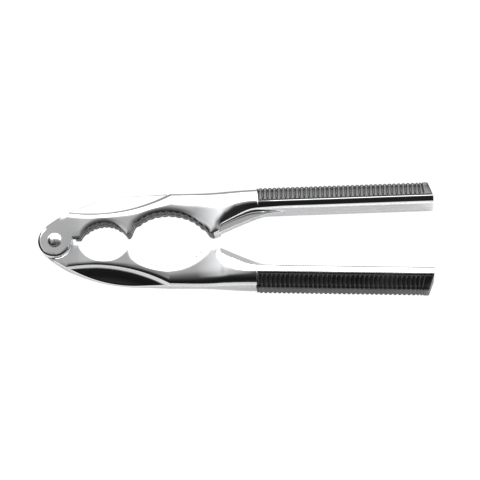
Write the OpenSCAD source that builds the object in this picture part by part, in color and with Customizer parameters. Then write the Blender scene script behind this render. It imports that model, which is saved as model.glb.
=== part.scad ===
// Plier-type nutcracker: two identical cast arms, one turned over, crossed in a lap joint on a rivet,
// with two toothed nut hollows between the jaws and a moulded saddle grip on each handle.
// It lies flat on its handles. The origin is under the middle of its outer box, +X points to the
// handle ends, +Y to the upper arm and +Z up. The arms are drawn about the pivot and then moved there.

/* [Pivot] */
// Radius of the round lug at the end of each arm
boss_r = 8; // [7.5:0.1:8.5]
// Radius of the recess that clears the other arm's lug
recess_r = 9.6; // [9.2:0.1:10]
// Diameter of the rivet's shank
rivet_d = 5; // [4:0.1:5.5]
// Diameter of the rivet's heads
rivet_head_d = 7; // [6.6:0.1:8]
// Rise of the domed front head
rivet_dome = 1.1; // [0.8:0.1:1.4]
// Rise of the formed back head
rivet_back = 0.8; // [0.6:0.1:1]
// Radial clearance of the rivet in both lugs
running_fit = 0.05; // [0.03:0.01:0.09]
// Gap between the two lugs where they slide on each other
lug_gap = 0.06; // [0.04:0.01:0.12]

/* [Jaws] */
// Thickness of the jaws, front to back
jaw_depth = 9.4; // [8.8:0.1:10]
// Distance from the centre line to the flats beside the pivot
flat_gap = 1.6; // [1.3:0.1:1.8]
// Distance from the centre line to the tips of the teeth that part the hollows
tip_gap = 2.4; // [2.2:0.1:2.8]
// Place of the small hollow along the jaw
small_x = 23.6; // [23.2:0.1:24]
// Radius of the small hollow
small_r = 13; // [12.8:0.1:13.4]
// Distance from the centre line to the top of the small hollow
small_top = 8.6; // [8.2:0.1:8.9]
// Place of the large hollow along the jaw
large_x = 54.7; // [54.4:0.1:55]
// Radius of the large hollow
large_r = 23; // [22.8:0.1:23.4]
// Distance from the centre line to the top of the large hollow
large_top = 13.6; // [13.2:0.1:13.9]
// Height of the ripples that grip a nut
ripple = 0.55; // [0.4:0.05:0.7]

/* [Outside of the arms] */
// Where the curved outer side of the jaw runs into the straight back, along the arm
back_x = 39.5; // [38:0.5:42]
// Distance from the centre line to that point
back_y = 22.4; // [22:0.1:22.8]
// Angle of the straight back to the centre line
back_angle = 1; // [0.8:0.1:1.2]
// Steepness of the leaf-shaped facets
leaf_angle = 23; // [18:1:28]

/* [Handles] */
// Depth of the handles, front to back
handle_depth = 18.5; // [17.5:0.1:19.5]
// Angle that each handle spreads from the centre line
splay = 1.4; // [1:0.1:1.8]
// Distance from the pivot to the shoulder where the grips begin
grip_start = 97.3; // [96.5:0.1:98]
// Length of the handle behind the shoulder
handle_len = 83.6; // [80:0.2:86]
// Distance from the centre line to the handle's inner face, at the shoulder
inner_y = 13.63; // [13.4:0.01:13.9]
// Thickness of the metal rail between the inner face and the grip
rail = 4.25; // [3.8:0.05:4.6]
// Angle of the ridge that rises from the jaw's last tip to the handle
ridge_angle = 24; // [23:0.5:25]
// Thickness of that ridge
ridge_depth = 5; // [4:0.2:6]
// Width of the step on each side of the ridge
step_w = 3.1; // [2.8:0.1:3.4]

/* [Grips] */
// Distance from the rail to the grip's outer face
grip_h = 6.7; // [6.5:0.1:6.9]
// Depth of the grips, front to back
grip_depth = 15.6; // [15:0.1:16.4]
// Thickness of the grip's walls over the tongue
grip_wall = 2.2; // [2:0.1:2.6]
// Spacing of the grip's ribs
rib_pitch = 2.2; // [2:0.1:2.4]
// Depth of the grooves between the ribs
groove = 0.35; // [0.2:0.05:0.5]

/* [Hidden] */
$fn = 96;

CHROME = [0.80, 0.81, 0.83];
SATIN = [0.62, 0.62, 0.63];
BLACK = [0.09, 0.09, 0.09];

jaw_half = jaw_depth / 2;
handle_half = handle_depth / 2;
grip_overhang = 0.3;
grip_end = handle_len + grip_overhang;
reach = grip_start + grip_end * cos(splay) - (inner_y + rail) * sin(splay);
far = 2 * reach;

// The jaw's front and back faces rise to the handle's along an arc, a short straight slope and an equal arc.
// rise_ease leaves length for the slope, and rise_bite makes the arcs cross it instead of only touching it.
rise_start = 65;
rise_end = 97;
rise_ease = 1.07;
rise_bite = 0.3;
rise_len = rise_end - rise_start;
rise_h = handle_half - jaw_half;
rise_turn = rise_h / (rise_ease * rise_len);
rise_angle = 2 * atan(rise_turn);
slope_len = (rise_h - rise_len * rise_turn) / (tan(rise_angle) - rise_turn);
arc_len = (rise_len - slope_len) / 2;
arc_h = arc_len * rise_turn;
slope_rise = arc_len * tan(rise_angle);
rise_r = arc_len / sin(rise_angle) + rise_bite;

// Outer side of the jaw: an arc that runs out of the lug's round and into the straight back at back_x
back = [back_x, back_y];
back_out = [-sin(back_angle), cos(back_angle)];
side_touch = boss_r - 0.05;
side_r = (back * back - pow(side_touch, 2)) / (2 * (back * back_out) - 2 * side_touch);
side_mid = back - side_r * back_out;
lug_touch = -side_mid / norm(side_mid);

// The jaw's last tip ends at the foot of the ridge that rises from it to the handle
ridge_foot = [76.2, tip_gap];
ridge_round = 60;
step_start = 3;
step_round = 15;
corner_bite = 0.03;
inner_foot = [grip_start, inner_y / cos(splay)];

ripple_pitch_small = 2.45;
ripple_pitch_large = 3.5;
ripples_small = 7;
ripples_large = 11;

// Leaf facets: cones on both faces, whose rim crosses the face along a shallow arc
leaf_mid = [18, 91.6];
leaf_r = 79.2;
leaf_h = 30;

tongue_h = grip_h - grip_wall;
tongue_half = grip_depth / 2 - grip_wall;
tongue_len = handle_len - 7;
bead = 0.5;
bead_h = 1.2;
grip_slant = 2.1;
grip_bevel = 0.7;
end_block = 4.6;
corner_cut = 1.2;

// Direction of a line at an angle, and the point where two lines cross
function along(a) = [cos(a), sin(a)];
function turn(p, q) = p.x * q.y - p.y * q.x;
function crossing(p, a, q, b) = p + along(a) * turn(q - p, along(b)) / turn(along(a), along(b));

// The shoulder stands square to the handle, where the grip starts
shoulder = crossing(back, back_angle, [grip_start, 0], 90 + splay);

module about_pivot() translate([-(reach - boss_r) / 2, 0, handle_half]) children();

module turned_over() rotate([180, 0, 0]) children();

module in_handle() translate([grip_start, 0, 0]) rotate([0, 0, splay]) children();

module slab(depth) translate([0, 0, -depth / 2]) linear_extrude(depth) children();

// Round bar and outlined plate that pass right through an arm
module bar(r, fn = 96) cylinder(h = handle_depth + 2, r = r, center = true, $fn = fn);

module plate(points) slab(handle_depth + 2) polygon(points);

// Metal that rounds the corner between a line that rises from foot and the handle's inner face
module corner_round(foot, round_r) {
    corner = crossing(foot, ridge_angle, inner_foot, splay);
    run = round_r * tan((ridge_angle - splay) / 2);
    enter = corner - run * along(ridge_angle);
    leave = corner + run * along(splay);
    difference() {
        plate([enter, corner + [0, rail - 0.2], leave]);
        translate(enter + round_r * [sin(ridge_angle), -cos(ridge_angle)]) bar(round_r + corner_bite, 360);
    }
}

// One nut hollow: a round with ripples that point to the nut
module hollow(x, top, r, pitch, count) {
    crest_r = (pow(pitch / 2, 2) + pow(ripple, 2)) / (2 * ripple);
    step = 2 * asin(pitch / (2 * r));
    translate([x, top - r]) difference() {
        bar(r, 180);
        for (i = [0 : count - 1])
            rotate(90 + (i - (count - 1) / 2) * step) translate([r - ripple + crest_r, 0]) bar(crest_r, 48);
    }
}

// Everything inside the outer side, from the pivot to the shoulder
module arm_blank() {
    intersection() {
        translate(side_mid) bar(side_r, 360);
        plate([[0, 0], lug_touch * side_r, [back.x, side_r], [back.x, 0]]);
    }
    plate([[small_x, 0], [small_x, small_top], back, shoulder, [grip_start, 0]]);
}

// Cut away from the blank: the gap between the jaws, the two hollows and the space under the ridge
module jaw_space() {
    ridge_top = ridge_foot + (grip_start + 2 - ridge_foot.x) / cos(ridge_angle) * along(ridge_angle);
    plate([[0, -far], [ridge_foot.x + 1, -far], [ridge_foot.x + 1, 0], ridge_foot, [small_x, tip_gap],
           [small_x, flat_gap], [0, flat_gap]]);
    plate([ridge_foot, ridge_top, [ridge_top.x, -far], [ridge_foot.x, -far]]);
    hollow(small_x, small_top, small_r, ripple_pitch_small, ripples_small);
    hollow(large_x, large_top, large_r, ripple_pitch_large, ripples_large);
}

// The step cut beside the ridge, with its first corner rounded
module ridge_step() {
    round_r = step_w / 2;
    translate(ridge_foot) rotate(ridge_angle) translate([step_start, 0]) {
        plate([[0, -boss_r], [far, -boss_r], [far, step_w], [round_r, step_w],
               [round_r, step_w - round_r], [0, step_w - round_r]]);
        translate([round_r, step_w - round_r]) bar(round_r, 32);
    }
}

// Both steps, on the two sides of the ridge
module steps() {
    difference() {
        ridge_step();
        corner_round(ridge_foot + step_w * [-sin(ridge_angle), cos(ridge_angle)], step_round);
        cube([2 * far, 2 * far, ridge_depth], center = true);
    }
}

// The arm before its front and back faces are shaped
module arm_plan() {
    difference() {
        union() {
            difference() {
                arm_blank();
                jaw_space();
            }
            corner_round(ridge_foot, ridge_round);
        }
        steps();
    }
    bar(boss_r);
    in_handle() translate([-2, inner_y, -handle_half]) cube([handle_len + 2, rail, handle_depth]);
}

// Block as deep as a side view is drawn, from the middle plane to the front
module seen_from_side() translate([0, far / 2, 0]) rotate([90, 0, 0]) linear_extrude(far) children();

// The arm's depth along its length: thin jaws that rise to deep handles on both faces
module depth_envelope() {
    translate([-2 * boss_r, -far / 2, -jaw_half]) cube([2 * boss_r + rise_end, far, jaw_depth]);
    for (face = [0, 1]) mirror([0, 0, face]) {
        seen_from_side() difference() {
            translate([rise_start, 0]) square([arc_len, handle_half]);
            translate([rise_start, jaw_half + rise_r]) circle(rise_r, $fn = 360);
        }
        seen_from_side() difference() {
            polygon([[rise_start, 0], [rise_end, 0], [rise_end, handle_half - arc_h + slope_rise],
                     [rise_start, jaw_half + arc_h - slope_rise]]);
            difference() {
                translate([rise_end - arc_len, 0]) square([rise_len, far]);
                translate([rise_end, handle_half - rise_r]) circle(rise_r, $fn = 360);
            }
        }
    }
    translate([rise_end, -far / 2, -handle_half]) cube([reach, far, handle_depth]);
}

// Cutter for the leaf facet on the front face
module leaf_cutter() {
    translate([leaf_mid.x, leaf_mid.y, jaw_half])
        translate([0, 0, -leaf_h * tan(leaf_angle)])
            cylinder(h = leaf_h * tan(leaf_angle) + 1, r1 = leaf_r - leaf_h,
                     r2 = leaf_r + 1 / tan(leaf_angle), $fn = 360);
}

// Narrow bar under the grip, with a groove on each side for the grip's bead
module tongue() {
    in_handle() translate([-1, inner_y + rail - 1, 0]) difference() {
        translate([0, 0, -tongue_half]) cube([tongue_len + 1, tongue_h + 1, 2 * tongue_half]);
        for (side = [-1, 1])
            translate([2, tongue_h / 2 + 1, side * tongue_half - bead])
                cube([tongue_len + 1, bead_h, 2 * bead]);
    }
}

// One arm about the pivot, with its lug in front
module arm() {
    difference() {
        union() {
            difference() {
                intersection() {
                    arm_plan();
                    depth_envelope();
                }
                for (face = [0, 1]) mirror([0, 0, face]) leaf_cutter();
            }
            tongue();
        }
        translate([0, 0, lug_gap / 2 - handle_depth]) cylinder(h = handle_depth, r = recess_r);
        translate([0, 0, -handle_half]) cylinder(h = handle_depth, d = rivet_d + 2 * running_fit);
    }
}

// Saddle grip in its place on the arm
module grip() {
    half = grip_depth / 2;
    ribs = floor((grip_end - end_block - grip_slant) / rib_pitch);
    difference() {
        in_handle() translate([0, inner_y + rail, 0]) difference() {
            slab(grip_depth) polygon([
                [0, 0], [0, grip_h - grip_bevel], [grip_bevel, grip_h],
                [grip_end - grip_slant, grip_h], [grip_end, 0]
            ]);
            for (i = [1 : ribs])
                translate([i * rib_pitch, 0, 0]) difference() {
                    translate([-groove, 1, -half - 1]) cube([2 * groove, grip_h, grip_depth + 2]);
                    translate([-1, 0, groove - half]) cube([2, grip_h - groove, grip_depth - 2 * groove]);
                }
            for (side = [-1, 1])
                translate([-1, grip_h, side * half]) rotate([45, 0, 0])
                    translate([0, -corner_cut / 2, -corner_cut / 2]) cube([far, corner_cut, corner_cut]);
        }
        tongue();
    }
}

// Domed head that rises from the middle plane
module rivet_head(rise) {
    head_r = rivet_head_d / 2;
    dome_r = (pow(head_r, 2) + pow(rise, 2)) / (2 * rise);
    intersection() {
        translate([0, 0, rise - dome_r]) sphere(dome_r, $fn = 128);
        cylinder(h = rise + 1, r = head_r);
    }
}

module upper_arm() color(CHROME) about_pivot() arm();

module lower_arm() color(CHROME) about_pivot() turned_over() arm();

module upper_grip() color(BLACK) about_pivot() grip();

module lower_grip() color(BLACK) about_pivot() turned_over() grip();

module pivot_rivet() {
    color(SATIN) about_pivot() {
        translate([0, 0, -jaw_half]) cylinder(h = jaw_depth, d = rivet_d);
        translate([0, 0, jaw_half]) rivet_head(rivet_dome);
        mirror([0, 0, 1]) translate([0, 0, jaw_half]) rivet_head(rivet_back);
    }
}

upper_arm();
lower_arm();
pivot_rivet();
upper_grip();
lower_grip();
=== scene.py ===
# %% [markdown]
# # A chrome nutcracker with ribbed grips
# Two cast arms cross on one rivet. Between them are two toothed hollows, and each handle carries a black
# moulded grip. Polished chrome shows every change of slope as a bright or dark band, so most of this
# lesson is about giving the arms the right slopes. Sizes are written in millimetres about the pivot and
# turned into metres at the end.

# %% Tools, frame and pivot
import math
import bpy
import numpy as np
from mathutils import Matrix, Vector


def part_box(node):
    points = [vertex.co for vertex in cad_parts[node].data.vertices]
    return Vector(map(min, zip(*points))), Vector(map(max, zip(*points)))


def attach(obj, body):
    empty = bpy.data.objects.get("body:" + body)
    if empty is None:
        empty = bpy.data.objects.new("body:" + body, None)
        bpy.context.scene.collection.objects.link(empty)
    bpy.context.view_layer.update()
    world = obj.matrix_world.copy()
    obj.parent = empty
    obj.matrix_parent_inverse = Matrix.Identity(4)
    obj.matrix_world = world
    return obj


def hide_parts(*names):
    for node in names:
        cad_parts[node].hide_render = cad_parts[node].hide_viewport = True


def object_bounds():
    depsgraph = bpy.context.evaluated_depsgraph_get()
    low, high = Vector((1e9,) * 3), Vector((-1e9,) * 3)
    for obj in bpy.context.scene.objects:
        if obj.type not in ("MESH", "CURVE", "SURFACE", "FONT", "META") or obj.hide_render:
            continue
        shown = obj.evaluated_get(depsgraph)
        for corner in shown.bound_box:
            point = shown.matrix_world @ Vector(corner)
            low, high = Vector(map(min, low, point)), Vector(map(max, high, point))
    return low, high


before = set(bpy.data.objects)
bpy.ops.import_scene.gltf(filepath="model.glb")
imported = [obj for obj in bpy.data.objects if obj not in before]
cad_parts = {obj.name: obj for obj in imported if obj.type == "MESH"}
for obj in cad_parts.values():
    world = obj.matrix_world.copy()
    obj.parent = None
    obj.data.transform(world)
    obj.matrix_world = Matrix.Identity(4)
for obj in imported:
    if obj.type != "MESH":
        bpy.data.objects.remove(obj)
cad_low, cad_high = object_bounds()
rivet_low, rivet_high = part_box("pivot_rivet")
arm_low, arm_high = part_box("upper_arm")
rivet_middle, arm_middle = (rivet_low + rivet_high) / 2, (arm_low + arm_high) / 2
pivot = Vector((rivet_middle.x, rivet_middle.y, arm_middle.z))
reach = (cad_high.x - pivot.x) * 1000
print("pivot at", [round(c * 1000, 2) for c in pivot], "mm; the handles end", round(reach, 2), "mm behind it")

# %% [markdown]
# ## Small helpers
# An operator works on whatever is selected, and loading the frame leaves its parts selected. So each new
# piece starts from an empty selection. The helpers here also pick faces by a rule about their place, lay
# a skin of faces over rows of points, and copy a piece turned over, because both arms and both grips are
# one shape used twice.

# %% Start a piece, and pick parts of it
def clear_selection():
    if bpy.context.mode != "OBJECT":
        bpy.ops.object.mode_set(mode="OBJECT")
    bpy.ops.object.select_all(action="DESELECT")


def make_active(piece):
    clear_selection()
    piece.select_set(True)
    bpy.context.view_layer.objects.active = piece


def name_new_piece(name):
    piece = bpy.context.object
    piece.name = name
    piece.data.name = name
    return piece


def select_all_in_edit_mode():
    bpy.ops.object.mode_set(mode="EDIT")
    bpy.ops.mesh.select_all(action="SELECT")


def pick_faces(piece, rule):
    """Select the faces whose centre and normal meet the rule, and stay in edit mode."""
    bpy.ops.object.mode_set(mode="EDIT")
    bpy.ops.mesh.select_mode(type="FACE")
    bpy.ops.mesh.select_all(action="DESELECT")
    bpy.ops.object.mode_set(mode="OBJECT")
    for face in piece.data.polygons:
        face.select = bool(rule(face.center, face.normal))
    bpy.ops.object.mode_set(mode="EDIT")


# %% Lay a skin over rows of points
def in_frame(points):
    """Millimetres about the pivot, turned into metres in the frame."""
    return np.asarray(points, float) * 0.001 + np.array(pivot)


def lay_skin(rows, name, merge):
    """Lay a grid of faces over rows of points, merge its seam within the distance and close its two ends."""
    stations, around = rows.shape[:2]
    clear_selection()
    bpy.ops.mesh.primitive_grid_add(x_subdivisions=around, y_subdivisions=stations - 1, size=1)
    piece = name_new_piece(name)
    skin = np.concatenate([rows, rows[:, :1]], axis=1).reshape(-1, 3)
    piece.data.vertices.foreach_set("co", in_frame(skin).ravel())
    piece.data.update()
    select_all_in_edit_mode()
    bpy.ops.mesh.remove_doubles(threshold=merge)
    bpy.ops.mesh.select_all(action="DESELECT")
    bpy.ops.mesh.select_mode(type="EDGE")
    bpy.ops.mesh.select_non_manifold(extend=False, use_wire=False, use_boundary=True, use_multi_face=False,
                                     use_non_contiguous=False, use_verts=False)
    bpy.ops.mesh.edge_face_add()
    bpy.ops.mesh.select_all(action="SELECT")
    bpy.ops.mesh.normals_make_consistent(inside=False)
    bpy.ops.object.mode_set(mode="OBJECT")
    print(name, "skin:", stations, "rows of", around, "points,", len(piece.data.polygons), "faces")
    return piece


# %% Copy a piece turned over
def copy_turned_over(piece, name):
    """Copy a piece with its own mesh, and turn the copy over about the long axis through the pivot."""
    make_active(piece)
    bpy.ops.object.duplicate(linked=False)
    copy = name_new_piece(name)
    select_all_in_edit_mode()
    bpy.ops.transform.rotate(value=math.pi, orient_axis="X", center_override=pivot)
    bpy.ops.mesh.normals_make_consistent(inside=False)
    bpy.ops.object.mode_set(mode="OBJECT")
    print(name, "copied from", piece.name)
    return copy


# %% [markdown]
# ## The edges of an arm, seen from the front
# An arm is a long casting whose inner edge carries the hollows and whose outer edge is one calm curve.
# Drawing both edges as lists of points first makes it possible to lay a skin of faces between them, which
# is how the teeth, the spikes and the smooth handle can share one surface.

# %% Sizes of an arm, and smooth paths
LUG_R, FLAT_Y, SPLAY = 8.0, 1.6, math.radians(1.4)
GRIP_START, INNER_Y, RAIL, SEEN_RAIL = 97.3, 13.63, 4.25, 3.65
SHOULDER = GRIP_START + 0.01
OVERHANG = 0.35
PATH_STEP = 0.2


def smooth_path(points, gap):
    """A Catmull-Rom curve through the points, cut into steps of the given length."""
    p = np.array(points, float)
    p = np.vstack([2 * p[0] - p[1], p, 2 * p[-1] - p[-2]])
    run = []
    for i in range(1, len(p) - 2):
        t = np.linspace(0, 1, 40, endpoint=False)[:, None]
        run.append(0.5 * (2 * p[i] + (p[i + 1] - p[i - 1]) * t
                          + (2 * p[i - 1] - 5 * p[i] + 4 * p[i + 1] - p[i + 2]) * t ** 2
                          + (3 * p[i] - p[i - 1] - 3 * p[i + 1] + p[i + 2]) * t ** 3))
    run = np.vstack(run + [p[-2:-1]])
    length = np.r_[0, np.cumsum(np.linalg.norm(np.diff(run, axis=0), axis=1))]
    at = np.linspace(0, length[-1], int(length[-1] / gap) + 2)
    return np.c_[np.interp(at, length, run[:, 0]), np.interp(at, length, run[:, 1])]


def ripples(path, first, last, pitch, height):
    """Push the path towards the nut in rounded lobes with sharp valleys between first and last (in x)."""
    along = np.r_[0, np.cumsum(np.linalg.norm(np.diff(path, axis=0), axis=1))]
    ways = np.gradient(path, along, axis=0)
    side = np.c_[ways[:, 1], -ways[:, 0]]
    start, end = np.interp([first, last], path[:, 0], along)
    count = round((end - start) / pitch)
    wave = np.abs(np.sin(np.pi * np.clip((along - start) / (end - start), 0, 1) * count))
    return path + side * (height * wave ** 0.8)[:, None]


# %% Inner edge: lug, hollows, spikes, ridge and handle
lug_turn = np.linspace(0, math.pi, 60)
lug_edge = np.c_[-LUG_R * np.cos(lug_turn), -LUG_R * np.sin(lug_turn)]
small_hollow = smooth_path([(11.9, 1.75), (12.9, 3.5), (14.5, 5.2), (16.4, 6.7), (19.3, 8.0), (23.4, 8.7),
                            (27.4, 8.2), (30.4, 6.8), (32.6, 4.9), (33.9, 3.4)], PATH_STEP)
spike = smooth_path([(33.9, 3.4), (34.3, 2.75), (34.95, 2.4), (35.7, 2.7), (36.5, 3.9), (37.3, 6.1),
                     (38.2, 7.9)], PATH_STEP)
large_hollow = smooth_path([(38.2, 7.9), (41, 10.1), (43.9, 11.75), (46.8, 12.85), (50.2, 13.5),
                            (54.2, 13.75), (58.4, 13.25), (61.5, 12.55), (64.5, 11.35), (67.4, 9.65),
                            (70.2, 7.4), (71.9, 5.8), (73, 4.3)], PATH_STEP)
last_spike = smooth_path([(73, 4.3), (73.8, 3.25), (75, 2.56), (76.2, 2.52), (77.6, 3.0), (80.2, 4.2)], 0.25)
ridge = smooth_path([(80.2, 4.2), (86, 6.8), (91.75, 9.25), (97.3, 11.35), (102.5, 12.75), (108, 13.55),
                     (113.5, 14.02), (120, 14.2)], 0.6)
handle_x = np.linspace(121.5, reach + OVERHANG, 30)
handle_inner = np.c_[handle_x, INNER_Y / math.cos(SPLAY) + (handle_x - GRIP_START) * math.tan(SPLAY)]
flat = [[LUG_R, 1.0], [LUG_R + 0.3, FLAT_Y], [11.4, FLAT_Y]]


def whole_edge(small, large):
    return np.vstack([lug_edge, flat, small, spike[1:], large[1:], last_spike[1:], ridge[1:], handle_inner])


calm_edge = whole_edge(small_hollow, large_hollow)
inner_edge = whole_edge(ripples(small_hollow, 14.2, 31.6, 2.45, 0.5),
                        ripples(large_hollow, 38.9, 71.4, 3.4, 0.55))
print("inner edge of", len(inner_edge), "points")

# %% Rim of the front face, which leaves the inner edge where the step beside the ridge starts
STEP_X = 79.2
RIM = np.array([(STEP_X, 3.6), (79.3, 5.4), (79.55, 6.4), (80.1, 7.15), (84, 9.1), (88, 10.9), (92, 12.55),
                (94.5, 13.2), (97, 13.5), (100, 13.62), (108, 13.9), (120, 14.19)])
front_rim = np.vstack([calm_edge[calm_edge[:, 0] < STEP_X], smooth_path(RIM, PATH_STEP), handle_inner])[::2]
print("front rim of", len(front_rim), "points")

# %% Outer edge, crest, leaf and rim of the step, as distances from the centre line at x
SIDE_MID, SIDE_R, SIDE_START = np.array([40.77, -50.23]), 72.65, -5.04
BACK_X, BACK_Y, BACK_ANGLE = 39.5, 22.4, math.radians(1)
LEAF_MID, LEAF_R, STRIP_R = np.array([18.0, 91.6]), 78.1, 79.4
LEAF_START, LEAF_END = 6.5, 56


def along_handle(x):
    """How far the handle's spread has carried it out at x."""
    return (x - GRIP_START) * math.tan(SPLAY)


def outer_y(x):
    side = SIDE_MID[1] + np.sqrt(np.maximum(SIDE_R ** 2 - (x - SIDE_MID[0]) ** 2, 0))
    back = BACK_Y + (x - BACK_X) * math.tan(BACK_ANGLE)
    lug = np.sqrt(np.maximum(LUG_R ** 2 - x ** 2, 0))
    rail = INNER_Y + along_handle(x) + SEEN_RAIL
    y = np.where(x < SIDE_START, lug, np.where(x < BACK_X, side, back))
    return np.where(x > SHOULDER, rail, y)


def arc_y(x, r):
    return LEAF_MID[1] - np.sqrt(r ** 2 - np.minimum(np.abs(x - LEAF_MID[0]), r - 1) ** 2)


def crest_y(x):
    """The highest line of the face: beside the leaf's rim, then just inside the outer edge."""
    body = np.minimum(arc_y(x, STRIP_R), outer_y(x) - 1.1)
    body = np.where(x < LEAF_START, outer_y(x) - 0.35, body)
    return np.where(x > SHOULDER, outer_y(x) - 0.1, body)


def leaf_y(x):
    body = np.minimum(arc_y(x, LEAF_R), outer_y(x) - 0.08)
    return np.maximum(body, crest_y(x) + 0.04)


def rim_y(x, inner):
    """The rim beside the ridge: the same as the inner edge until the step starts."""
    return np.where(x < STEP_X, inner, np.maximum(np.interp(x, RIM[:, 0], RIM[:, 1]), inner))


# %% [markdown]
# ## How high the front face stands
# The face is flat in the middle of the jaws, crowned towards both edges, and it rises on an S from the
# thin jaws to the deep handles. A chrome surface that leans 20 to 27 degrees mirrors a different part of
# the studio than a flat one, so the amount and width of each crown are what draws the dark and light
# bands.

# %% Height of the front face
JAW_HALF, RISE_START, RISE_LEN, RISE_H = 4.7, 65, 32, 4.55
HANDLE_CREST = 8.67
CREST_LEAN, LUG_LEAN, LUG_BEVEL = math.radians(27), math.radians(27), 1
SWELL, SWELL_START, SWELL_END = 0.4, 9, 80


def rise_height(x):
    """The S from the jaws to the handles: half of it curves up, half of it curves back to level."""
    share = np.clip((x - RISE_START) / RISE_LEN, 0, 1)
    return RISE_H * np.where(share < 0.5, 2 * share ** 2, 1 - 2 * (1 - share) ** 2)


def inner_drop(x, to_inner):
    """Fall towards the inner edge: a plain slope, then a curve that fades it out."""
    plain = np.interp(x, [75, 79, 82, 87, 92, 97, 102], [0, 0.8, 2.9, 3.9, 3.3, 2.7, 2.95])
    fade = np.interp(x, [12, 20, 60, 80, 97, 105], [1.6, 2.4, 2.7, 2.7, 1.2, 0.3])
    lean = math.tan(math.radians(1)) * np.interp(x, [0, 9, 14, 77, 84, 200], [0, 0, 25, 26, 24, 23])
    past = np.maximum(to_inner - plain, 0)
    return lean * (np.maximum(plain - to_inner, 0) + np.maximum(fade - past, 0) ** 2 / (2 * fade))


def outer_drop(x, y):
    """Fall towards the crest beside the outer edge, steepest at the crest itself."""
    width = np.interp(x, [5, 30, 45, 62, 85, 97], [1.6, 2.0, 3.5, 6.0, 7.0, 5.57])
    power = np.interp(x, [62, 97], [1.2, 0.5])
    on_handle = INNER_Y + HANDLE_CREST - (y - along_handle(x))
    from_crest = np.where(x > SHOULDER, on_handle, crest_y(x) - y)
    share = np.maximum(1 - np.maximum(from_crest, 0) / width, 0)
    lean = math.tan(CREST_LEAN) * np.interp(x, [2, 7], [0, 1])
    return lean * width / (power + 1) * share ** (power + 1)


def lug_drop(x, y):
    """Bevel round the free part of the lug."""
    from_bevel = np.maximum(np.hypot(x, y) - (LUG_R - LUG_BEVEL), 0)
    bevelled = ((x < -4.5) | (y < 0)) & (x < 6.5)
    return np.where(bevelled, math.tan(LUG_LEAN) * from_bevel, 0)


def face_height(x, y, to_inner):
    """Height above the middle plane at (x, y); to_inner is the distance to the inner edge."""
    ends = np.clip([(x - SWELL_START) / 12, (SWELL_END - x) / 26], 0, 1)
    swell = SWELL * np.prod(ends ** 2 * (3 - 2 * ends), axis=0)
    return JAW_HALF + rise_height(x) + swell - inner_drop(x, to_inner) - outer_drop(x, y) - lug_drop(x, y)


print("handle face at", round(float(JAW_HALF + rise_height(150)), 2), "mm, jaw face at", JAW_HALF, "mm")

# %% [markdown]
# ## The arm's skin
# One flat grid is the blank: one direction of it runs along the arm and the other goes once round the
# section. Every row is laid round the casting, from the middle of the inner wall over the front face and
# the outer flank and back over the rear face. The seam is merged and the handle's end is filled.

# %% Points of the front face in one section
FRONT_POINTS, SCOOP_POINTS = 22, 8
CREST, GROOVE, LEAF = FRONT_POINTS - 1, FRONT_POINTS + 1, FRONT_POINTS + 3
STRIP_LEAN, LEAF_LEAN, LEAF_LEVEL, LEAF_WIDE = math.radians(29), 27, 10, 8
GROOVE_HALF, GROOVE_DEPTH, OUTER_ROUND = 0.07, 0.07, 0.35


def front_ys(rim, bevel, crest, leaf, out):
    """From the rim to the crest, over the strip with its groove, then over the leaf to the outer edge."""
    start = min(rim + bevel, (rim + crest) / 2)
    front = start + (crest - start) * (0.5 - 0.5 * np.cos(np.linspace(0, math.pi, FRONT_POINTS)))
    middle = (crest + leaf) / 2
    scoop = np.linspace(leaf + 0.003, out - 0.02, SCOOP_POINTS)
    if out - OUTER_ROUND > leaf + 0.02:
        scoop = leaf + (out - OUTER_ROUND - leaf) * np.linspace(0, 1, SCOOP_POINTS + 1)[1:]
    return np.r_[front, middle - GROOVE_HALF, middle, middle + GROOVE_HALF, leaf, scoop]


def distance_to_rim(x, ys, rim):
    """How far each point lies from the front face's rim; less than nothing on the teeth past it."""
    if x > 121:
        return ys - rim
    away = np.array([np.min(np.hypot(front_rim[:, 0] - x, front_rim[:, 1] - y)) for y in ys])
    return np.where(ys < np.interp(x, front_rim[:, 0], front_rim[:, 1]), -away, away)


def front_heights(x, ys, rim, out):
    z = face_height(np.full_like(ys, x), ys, distance_to_rim(x, ys, rim))
    crest, leaf = ys[CREST], ys[LEAF]
    strip = slice(CREST + 1, LEAF + 1)
    z[strip] = z[CREST] - math.tan(STRIP_LEAN) * (ys[strip] - crest)
    if x < SHOULDER and leaf - crest > 0.5:
        z[GROOVE] -= GROOVE_DEPTH
    scoop = slice(LEAF + 1, None)
    if leaf < out - 0.4 and LEAF_START < x < LEAF_END:
        lean = np.radians(LEAF_LEAN - LEAF_LEVEL * np.clip((ys[scoop] - leaf) / LEAF_WIDE, 0, 1))
        z[scoop] = z[LEAF] - np.cumsum(np.diff(ys[LEAF:]) * np.tan(lean))
    else:
        z[scoop] = z[LEAF] - 0.12 * np.linspace(0.2, 1, SCOOP_POINTS)
    return z


# %% One section all the way round
RIDGE_HALF, PARTING = 2.5, 0.06


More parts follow.
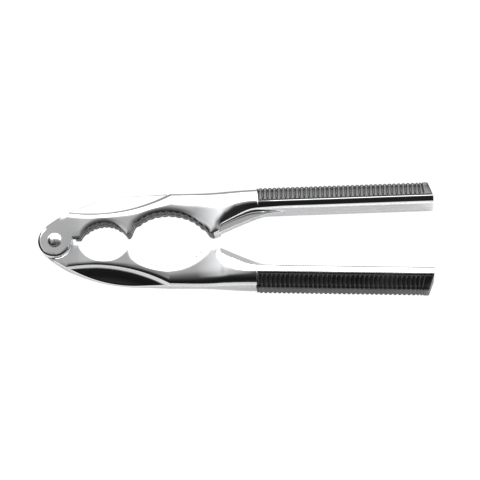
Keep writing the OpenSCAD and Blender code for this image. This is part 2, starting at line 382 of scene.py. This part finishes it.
def section(x, inner):
    """Round the casting at x: inner wall, front face, outer flank, and the same again on the rear."""
    crest, leaf, out = float(crest_y(x)), float(leaf_y(x)), float(outer_y(x))
    rim = float(rim_y(x, inner))
    bevel = float(np.interp(x, [0, 9, 78, 86, 97, 110], [0.06, 0.24, 0.3, 0.5, 0.6, 0.9]))
    ys = front_ys(rim, bevel, crest, leaf, out)
    z = front_heights(x, ys, rim, out)
    step_z = min(RIDGE_HALF, z[0] - 1)
    wall = [(inner - PARTING, 0.0), (inner, 0.22), (inner, step_z - 0.25), (inner + 0.08, step_z - 0.05),
            (max(rim - 0.1, inner + 0.09), step_z + 0.02), (rim, step_z + 0.2), (rim, z[0] - 1.7 * bevel),
            (rim + 0.13 * bevel, z[0] - 0.95 * bevel), (rim + 0.45 * bevel, z[0] - 0.38 * bevel)]
    last = z[-1]
    low = min(0.45, last * 0.45)
    flank = [(out - 0.12, last - 0.35 * low), (out - 0.02, last - low), (out, 0.24 * min(last, 1)),
             (out + PARTING, 0.0)]
    half = wall + list(zip(ys, z)) + flank
    rear = [(y, -h) for (y, h) in half[-2:0:-1]]
    return [(x, y, h) for (y, h) in half + rear]


# %% Lay the arm's skin, with the handle's end square to the handle
rows = np.array([section(x, inner) for (x, inner) in inner_edge])
rows[-1, :, 0] -= (rows[-1, :, 1] - rows[-1, 0, 1]) * math.sin(SPLAY)
upper_arm = lay_skin(rows, "chrome_upper_arm", 0.0000005)

# %% [markdown]
# ## The lap joint
# Each arm is cut to half its thickness round the pivot, so that the two lugs lie on each other. It could
# be modelled as a step in every section, but the step's edge is a circle, and a Boolean cut with a disc
# gives a true one. A second disc, narrow and long, cuts the rivet's bore.

# %% Cut the recess and the bore
RECESS_R, LUG_GAP, BORE_R, THROUGH = 9.6, 0.06, 2.55, 12
SHARP_ARM = math.radians(24)


def cut_away(piece, cutter):
    make_active(piece)
    cut = piece.modifiers.new("cut", "BOOLEAN")
    cut.operation = "DIFFERENCE"
    cut.solver = "EXACT"
    cut.object = cutter
    bpy.ops.object.modifier_apply(modifier="cut")
    make_active(cutter)
    bpy.ops.object.delete()


def disc(radius, low, high):
    """A disc about the pivot's axis, between two heights."""
    clear_selection()
    middle = pivot + Vector((0, 0, (low + high) / 2000))
    bpy.ops.mesh.primitive_cylinder_add(vertices=128, radius=radius * 0.001, depth=(high - low) * 0.001,
                                        location=middle)
    bpy.ops.object.transform_apply(location=True, rotation=True, scale=True)
    return name_new_piece("cutter")


cut_away(upper_arm, disc(RECESS_R, -THROUGH, LUG_GAP / 2))
cut_away(upper_arm, disc(BORE_R, -THROUGH, THROUGH))
make_active(upper_arm)
bpy.ops.object.shade_smooth_by_angle(angle=SHARP_ARM)
print("upper arm after the cuts:", len(upper_arm.data.polygons), "faces")

# %% The lower arm is the same casting turned over
lower_arm = copy_turned_over(upper_arm, "chrome_lower_arm")

# %% [markdown]
# ## The ribbed grips
# A grip is a moulded saddle on the outer side of the handle. Its ribs run across, wrap over the outer
# face and leave a scalloped outline. One section is drawn as a ring, and rows of it are laid along the
# handle: each rib rises, rounds over and falls back into a narrow groove.

# %% One ring of the grip
RIB_PITCH, GRIP_H, GRIP_HALF, GRIP_LEN = 2.2, 6.75, 7.75, 83.9
SLANT, SLANT_LEN = 2.1, 8
SHARP_GRIP = math.radians(50)


def grip_section(groove):
    """A ring from the middle of the hidden side, over the front face and round the corner to the rear."""
    points = [(-0.58, 0.0), (-0.58, GRIP_HALF - 0.9), (-0.5, GRIP_HALF - 0.3), (-0.2, GRIP_HALF + 0.05),
              (0.2, GRIP_HALF + 0.2), (0.8, GRIP_HALF)]
    points += [(y, GRIP_HALF - 0.36 * (y - 0.8) - 0.012 * (y - 0.8) ** 2)
               for y in (1.5, 2.4, 3.3, 4.2, 5.1, 5.6)]
    points += [(GRIP_H - 1 + math.sin(a), GRIP_HALF - 3 + math.cos(a)) for a in np.linspace(0.45, 1.5, 6)]
    points += [(GRIP_H, GRIP_HALF - 3.6), (GRIP_H + 0.02, GRIP_HALF * 0.3), (GRIP_H + 0.02, 0.0)]
    ring = []
    for (y, h) in points:
        depth = groove * min(max((y - 0.2) / 0.8, 0), 1)
        on_face = h > GRIP_HALF * 0.3 and y < GRIP_H - 0.2
        on_corner = y >= GRIP_H - 1.3
        down = depth if h > 1 and (on_face or on_corner) else 0
        back = depth if y > GRIP_H - 1.2 else 0
        ring.append((y - back, h - down))
    return ring + [(y, -h) for (y, h) in ring[-2:0:-1]]


# %% Rows of rings: each rib rises, rounds over and falls into a groove
def grip_rows():
    places, grooves = [0.0, 0.12, 0.5], [0.55, 0.2, 0.0]
    ribs = int((GRIP_LEN - 3.4) / RIB_PITCH)
    first = 0.75
    for i in range(ribs):
        places += [first + RIB_PITCH * (i + part) for part in (0.0, 0.12, 0.2, 0.3, 0.45, 0.62, 0.78, 0.88)]
        grooves += [0.42, 0.42, 0.24, 0.09, 0.0, 0.0, 0.08, 0.24]
    end = first + ribs * RIB_PITCH
    places += [end, end + 0.2, end + 0.6, GRIP_LEN - 0.6, GRIP_LEN - 0.15, GRIP_LEN]
    grooves += [0.34, 0.1, 0.0, 0.0, 0.18, 0.5]
    rows = []
    for place, groove in zip(places, grooves):
        near_end = max(place - (GRIP_LEN - SLANT_LEN), 0) / SLANT_LEN
        rows.append([(place - SLANT * near_end * (y / GRIP_H), y, h) for (y, h) in grip_section(groove)])
    return np.array(rows)


def on_handle(points):
    """From along, out and up on the handle to millimetres about the pivot."""
    along, out, up = points[:, :, 0], INNER_Y + RAIL + points[:, :, 1], points[:, :, 2]
    x = GRIP_START + along * math.cos(SPLAY) - out * math.sin(SPLAY)
    y = along * math.sin(SPLAY) + out * math.cos(SPLAY)
    return np.stack([x, y, up], axis=2)


upper_grip = lay_skin(on_handle(grip_rows()), "black_upper_grip", 0.000001)
bpy.ops.object.shade_smooth_by_angle(angle=SHARP_GRIP)
lower_grip = copy_turned_over(upper_grip, "black_lower_grip")

# %% [markdown]
# ## The rivet
# The rivet is one bar of steel with a dome formed on each end. A cylinder is the shank. Each end face is
# extruded, widened and lifted, and then narrowed again and again along a circle's arc, which is how a
# rounded head is drawn by hand.

# %% The rivet's shank
SHANK_R, HEAD_R, HEAD_BASE, RIM_H = 2.5, 3.5, 4.7, 0.16
clear_selection()
bpy.ops.mesh.primitive_cylinder_add(vertices=96, radius=SHANK_R * 0.001, depth=2 * HEAD_BASE * 0.001,
                                    location=pivot)
rivet = name_new_piece("satin_rivet")
bpy.ops.object.transform_apply(location=True, rotation=True, scale=True)


# %% Form its two heads
def form_head(side, rise):
    """Extrude the end face on one side of the pivot, +1 or -1, along a ball's profile."""
    pick_faces(rivet, lambda centre, normal: normal.z * side > 0.9 and (centre.z - pivot.z) * side > 0)
    middle = pivot + Vector((0, 0, side * HEAD_BASE * 0.001))
    ball = (HEAD_R ** 2 + rise ** 2) / (2 * rise)
    full = math.asin(HEAD_R / ball)
    profile = [(HEAD_R - 0.04, 0.0), (HEAD_R, 0.06), (HEAD_R, RIM_H)]
    for a in np.linspace(0.97 * full, 0.05 * full, 14):
        profile.append((ball * math.sin(a), max(ball * math.cos(a) - ball + rise, 0.2)))
    radius, height = SHANK_R, 0.0
    for (r, z) in profile:
        bpy.ops.mesh.extrude_region_move()
        bpy.ops.transform.resize(value=(r / radius, r / radius, 1), center_override=middle)
        bpy.ops.transform.translate(value=(0, 0, side * (z - height) * 0.001))
        radius, height = r, z
    bpy.ops.object.mode_set(mode="OBJECT")


FRONT_RISE, BACK_RISE = 1.1, 0.8
form_head(1, FRONT_RISE)
form_head(-1, BACK_RISE)
select_all_in_edit_mode()
bpy.ops.mesh.normals_make_consistent(inside=False)
bpy.ops.object.mode_set(mode="OBJECT")
bpy.ops.object.shade_smooth_by_angle(angle=math.radians(35))
print("rivet", [round((b - a) * 1000, 2) for a, b in zip(rivet.bound_box[0], rivet.bound_box[6])], "mm")

# %% [markdown]
# ## Finishes
# Chrome plate is a mirror with faults: faint waves from the buffing wheel, a film that dulls patches, and
# hair-fine scratches. All of them act on the roughness and the bump, because the colour of chrome hardly
# changes. The walls of the hollows get a duller finish whose dark colour is painted shade, standing in for
# the shade that falls into the hollows.

# %% Node helpers
def new_finish(name, metallic=0):
    finish = bpy.data.materials.new(name)
    finish.use_nodes = True
    shader_of(finish)["Metallic"].default_value = metallic
    return finish


def shader_of(finish):
    return finish.node_tree.nodes["Principled BSDF"].inputs


def noise(finish, scale, detail, stretch=(1, 1, 1)):
    nodes, links = finish.node_tree.nodes, finish.node_tree.links
    place = nodes.new("ShaderNodeTexCoord")
    mapping = nodes.new("ShaderNodeMapping")
    mapping.inputs["Scale"].default_value = stretch
    texture = nodes.new("ShaderNodeTexNoise")
    texture.inputs["Scale"].default_value = scale
    texture.inputs["Detail"].default_value = detail
    links.new(place.outputs["Object"], mapping.inputs["Vector"])
    links.new(mapping.outputs["Vector"], texture.inputs["Vector"])
    return texture.outputs["Fac"]


def spread(finish, value, low, high, from_low=0.35, from_high=0.65):
    ranged = finish.node_tree.nodes.new("ShaderNodeMapRange")
    ranged.inputs["From Min"].default_value = from_low
    ranged.inputs["From Max"].default_value = from_high
    ranged.inputs["To Min"].default_value = low
    ranged.inputs["To Max"].default_value = high
    finish.node_tree.links.new(value, ranged.inputs["Value"])
    return ranged.outputs["Result"]


def multiply(finish, first, second):
    product = finish.node_tree.nodes.new("ShaderNodeMath")
    product.operation = "MULTIPLY"
    finish.node_tree.links.new(first, product.inputs[0])
    finish.node_tree.links.new(second, product.inputs[1])
    return product.outputs[0]


# %% What the values drive: gloss, relief and colour
def roughen(finish, value):
    finish.node_tree.links.new(value, shader_of(finish)["Roughness"])


def bump(finish, value, strength, distance):
    relief = finish.node_tree.nodes.new("ShaderNodeBump")
    relief.inputs["Strength"].default_value = strength
    relief.inputs["Distance"].default_value = distance
    finish.node_tree.links.new(value, relief.inputs["Height"])
    finish.node_tree.links.new(relief.outputs["Normal"], shader_of(finish)["Normal"])


def tint(finish, value, dark, light):
    ramp = finish.node_tree.nodes.new("ShaderNodeValToRGB")
    for element, position, colour in zip(ramp.color_ramp.elements, (0.3, 0.7), (dark, light)):
        element.position = position
        element.color = (*colour, 1)
    finish.node_tree.links.new(value, ramp.inputs["Fac"])
    finish.node_tree.links.new(ramp.outputs["Color"], shader_of(finish)["Base Color"])


# %% Chrome
chrome = new_finish("chrome_plate", metallic=1)
film = noise(chrome, 60, 6)
scratches = noise(chrome, 900, 3, (0.06, 1, 1))
tint(chrome, film, (0.90, 0.905, 0.92), (0.96, 0.96, 0.965))
film_gloss = spread(chrome, film, 0.03, 0.075)
scratch_gloss = spread(chrome, scratches, 0.8, 1.5, 0.5, 0.75)
roughen(chrome, multiply(chrome, film_gloss, scratch_gloss))
bump(chrome, noise(chrome, 110, 2), 0.05, 0.0003)

# %% Painted shade on the walls of the hollows: a dark, duller metal
hollow_shade_finish = new_finish("painted_shade_wall", metallic=1)
wall_mottle = noise(hollow_shade_finish, 700, 4)
# The dark tone is painted shade for the walls of the hollows; the noise only mottles it.
tint(hollow_shade_finish, wall_mottle, (0.09, 0.09, 0.094), (0.15, 0.15, 0.155))
roughen(hollow_shade_finish, spread(hollow_shade_finish, wall_mottle, 0.16, 0.3))
bump(hollow_shade_finish, wall_mottle, 0.2, 0.00004)

# %% Satin steel and black moulding
steel = new_finish("satin_steel", metallic=1)
grain = noise(steel, 420, 3)
tint(steel, grain, (0.50, 0.50, 0.51), (0.66, 0.66, 0.67))
roughen(steel, spread(steel, grain, 0.16, 0.3))
bump(steel, grain, 0.25, 0.0001)

moulding = new_finish("black_moulding")
shader_of(moulding)["Specular IOR Level"].default_value = 0.9
worn = noise(moulding, 90, 4)
tint(moulding, worn, (0.004, 0.004, 0.0044), (0.008, 0.008, 0.0085))
roughen(moulding, spread(moulding, worn, 0.22, 0.32))
bump(moulding, noise(moulding, 2200, 5), 0.3, 0.00004)

# %% Put the finishes on
for piece, finish in ((upper_arm, chrome), (lower_arm, chrome), (rivet, steel), (upper_grip, moulding),
                      (lower_grip, moulding)):
    piece.data.materials.clear()
    piece.data.materials.append(finish)

WALL_START, WALL_END, WALL_OVER, WALL_FACING = 8.4, 76.5, 0.6, 0.86


def is_painted_shade_wall(face):
    """True on the walls of both hollows and of the tips between them."""
    x = (face.center.x - pivot.x) * 1000
    y = abs(face.center.y - pivot.y) * 1000
    near_rim = y < np.interp(x, front_rim[:, 0], front_rim[:, 1]) + WALL_OVER
    return abs(face.normal.z) < WALL_FACING and WALL_START < x < WALL_END and near_rim


# The walls of the hollows take the finish with the painted shade.
for arm in (upper_arm, lower_arm):
    arm.data.materials.append(hollow_shade_finish)
    for face in arm.data.polygons:
        face.material_index = int(is_painted_shade_wall(face))
print("four finishes on five pieces")

# %% [markdown]
# ## What each piece belongs to
# Each piece is attached to the body it moves with, and the plain part it stands in for is hidden. The
# table also lists a slot for each piece's finish, which is not used.

# %% Bodies, parts and slots
for piece, body, node, slot in ((upper_arm, "upper_half", "upper_arm", "chrome_arm"),
                                (upper_grip, "upper_half", "upper_grip", "grip"),
                                (rivet, "upper_half", "pivot_rivet", "rivet"),
                                (lower_arm, "lower_half", "lower_arm", "chrome_arm"),
                                (lower_grip, "lower_half", "lower_grip", "grip")):
    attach(piece, body)
    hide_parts(node)

# %% [markdown]
# ## Floor, studio light and camera
# The floor is a plain pale sheet. The studio is a soft white room: bright on the far side, grey overhead
# and pale on the near side, with one dark screen there. Chrome shows nothing but its surroundings, so
# that screen is what makes the black bands. It takes the place of the black flags that are hung beside
# polished metal in a studio.

# %% Floor
clear_selection()
bpy.ops.mesh.primitive_plane_add(size=6, location=(0, 0, cad_low.z))
floor = name_new_piece("floor")
bpy.ops.object.transform_apply(location=True, rotation=True, scale=True)
paper = new_finish("pale_paper")
tint(paper, noise(paper, 300, 3), (0.64, 0.64, 0.64), (0.67, 0.67, 0.67))
shader_of(paper)["Roughness"].default_value = 0.9
shader_of(paper)["Emission Color"].default_value = (1, 1, 1, 1)
shader_of(paper)["Emission Strength"].default_value = 0.3

# %% The floor is evenly white where it is seen straight
nodes, links = paper.node_tree.nodes, paper.node_tree.links
even = nodes.new("ShaderNodeEmission")
even.inputs["Strength"].default_value = 1.05
straight = nodes.new("ShaderNodeLightPath")
mixed = nodes.new("ShaderNodeMixShader")
links.new(straight.outputs["Is Camera Ray"], mixed.inputs["Fac"])
links.new(nodes["Principled BSDF"].outputs["BSDF"], mixed.inputs[1])
links.new(even.outputs["Emission"], mixed.inputs[2])
links.new(mixed.outputs["Shader"], nodes["Material Output"].inputs["Surface"])
floor.data.materials.append(paper)

# %% Studio: a ramp of tones round the object's long axis, from the near floor to the far floor
SKY = [(-90, 0.80), (-48, 0.78), (-43, 0.62), (-39.5, 0.012), (-35.5, 0.008), (-30.5, 0.008),
       (-24, 0.024), (-13, 0.08), (-2, 0.16), (9, 0.30), (15, 0.37), (17.5, 0.5), (22, 0.9),
       (40, 4.2), (60, 4.2), (69, 1.3), (74, 0.3), (90, 0.12)]
world = bpy.data.worlds.new("studio")
world.use_nodes = True
bpy.context.scene.world = world
nodes, links = world.node_tree.nodes, world.node_tree.links
place = nodes.new("ShaderNodeTexCoord")
parts = nodes.new("ShaderNodeSeparateXYZ")
links.new(place.outputs["Generated"], parts.inputs[0])


def calculate(operation, first, second, clamp=False):
    step = nodes.new("ShaderNodeMath")
    step.operation = operation
    step.use_clamp = clamp
    for socket, value in zip(step.inputs, (first, second)):
        if isinstance(value, (int, float)):
            socket.default_value = value
        else:
            links.new(value, socket)
    return step.outputs[0]


def grow_past(axis, sign, start, gain):
    """0 up to a place on an axis, then rising to 1."""
    along_axis = calculate("MULTIPLY", parts.outputs[axis], sign)
    return calculate("MULTIPLY", calculate("SUBTRACT", along_axis, start), gain, True)


sky = nodes.new("ShaderNodeValToRGB")
while len(sky.color_ramp.elements) < len(SKY):
    sky.color_ramp.elements.new(0.5)
for element, (degrees, grey) in zip(sky.color_ramp.elements, SKY):
    element.position = (degrees + 90) / 180
    element.color = (grey, grey, grey, 1)
tilt = calculate("ARCTAN2", parts.outputs["Y"], parts.outputs["Z"])
links.new(calculate("ADD", calculate("DIVIDE", tilt, math.pi), 0.5), sky.inputs["Fac"])
print("studio with", len(SKY), "tones round the object")

# %% A lamp and a dark screen beyond the pivot, a dark horizon, and white where the studio is seen straight
horizon = calculate("MAXIMUM", grow_past("Z", 1, 0.06, 4.5), grow_past("Y", -1, 0.5, 3.3))
horizon = calculate("MAXIMUM", horizon, 0.03)
lamp = calculate("MULTIPLY", grow_past("X", -1, 0.14, 2.6), grow_past("Y", 1, -0.34, 8.0))
screen = calculate("SUBTRACT", 1.0, calculate("MULTIPLY", grow_past("X", -1, 0.52, 5.0), 0.97))
tone = calculate("ADD", sky.outputs["Color"], calculate("MULTIPLY", lamp, 0.4))
tone = calculate("MULTIPLY", calculate("MULTIPLY", tone, horizon), screen)
seen = nodes.new("ShaderNodeLightPath")
choose = nodes.new("ShaderNodeMix")
choose.data_type = "RGBA"
links.new(seen.outputs["Is Camera Ray"], choose.inputs["Factor"])
links.new(tone, choose.inputs[6])
choose.inputs[7].default_value = (1, 1, 1, 1)
links.new(choose.outputs[2], nodes["Background"].inputs["Color"])
nodes["Background"].inputs["Strength"].default_value = 1.15
bpy.context.scene.view_settings.view_transform = "Standard"
print("lamp, screen and horizon added")

# %% Camera, turned so that the object lies level in the frame
AZIMUTH, ELEVATION, DISTANCE = math.radians(13.2), math.radians(74.9), 1.148
target = Vector((0.0023, 0.0004, 0.00925))
level = Vector((0.99816, 0.00498, -0.0603))
back = Vector((math.sin(AZIMUTH) * math.cos(ELEVATION), -math.cos(AZIMUTH) * math.cos(ELEVATION),
               math.sin(ELEVATION)))
right = (level - level.dot(back) * back).normalized()
up = back.cross(right)
camera_data = bpy.data.cameras.new("camera")
camera_data.lens, camera_data.sensor_width = 180, 36
camera_data.clip_start, camera_data.clip_end = 0.01, 20
camera = bpy.data.objects.new("camera", camera_data)
turned = Matrix((right, up, back)).transposed().to_4x4()
camera.matrix_world = Matrix.Translation(target + back * DISTANCE) @ turned
bpy.context.scene.collection.objects.link(camera)
bpy.context.scene.camera = camera
print("camera", DISTANCE, "m from the object")
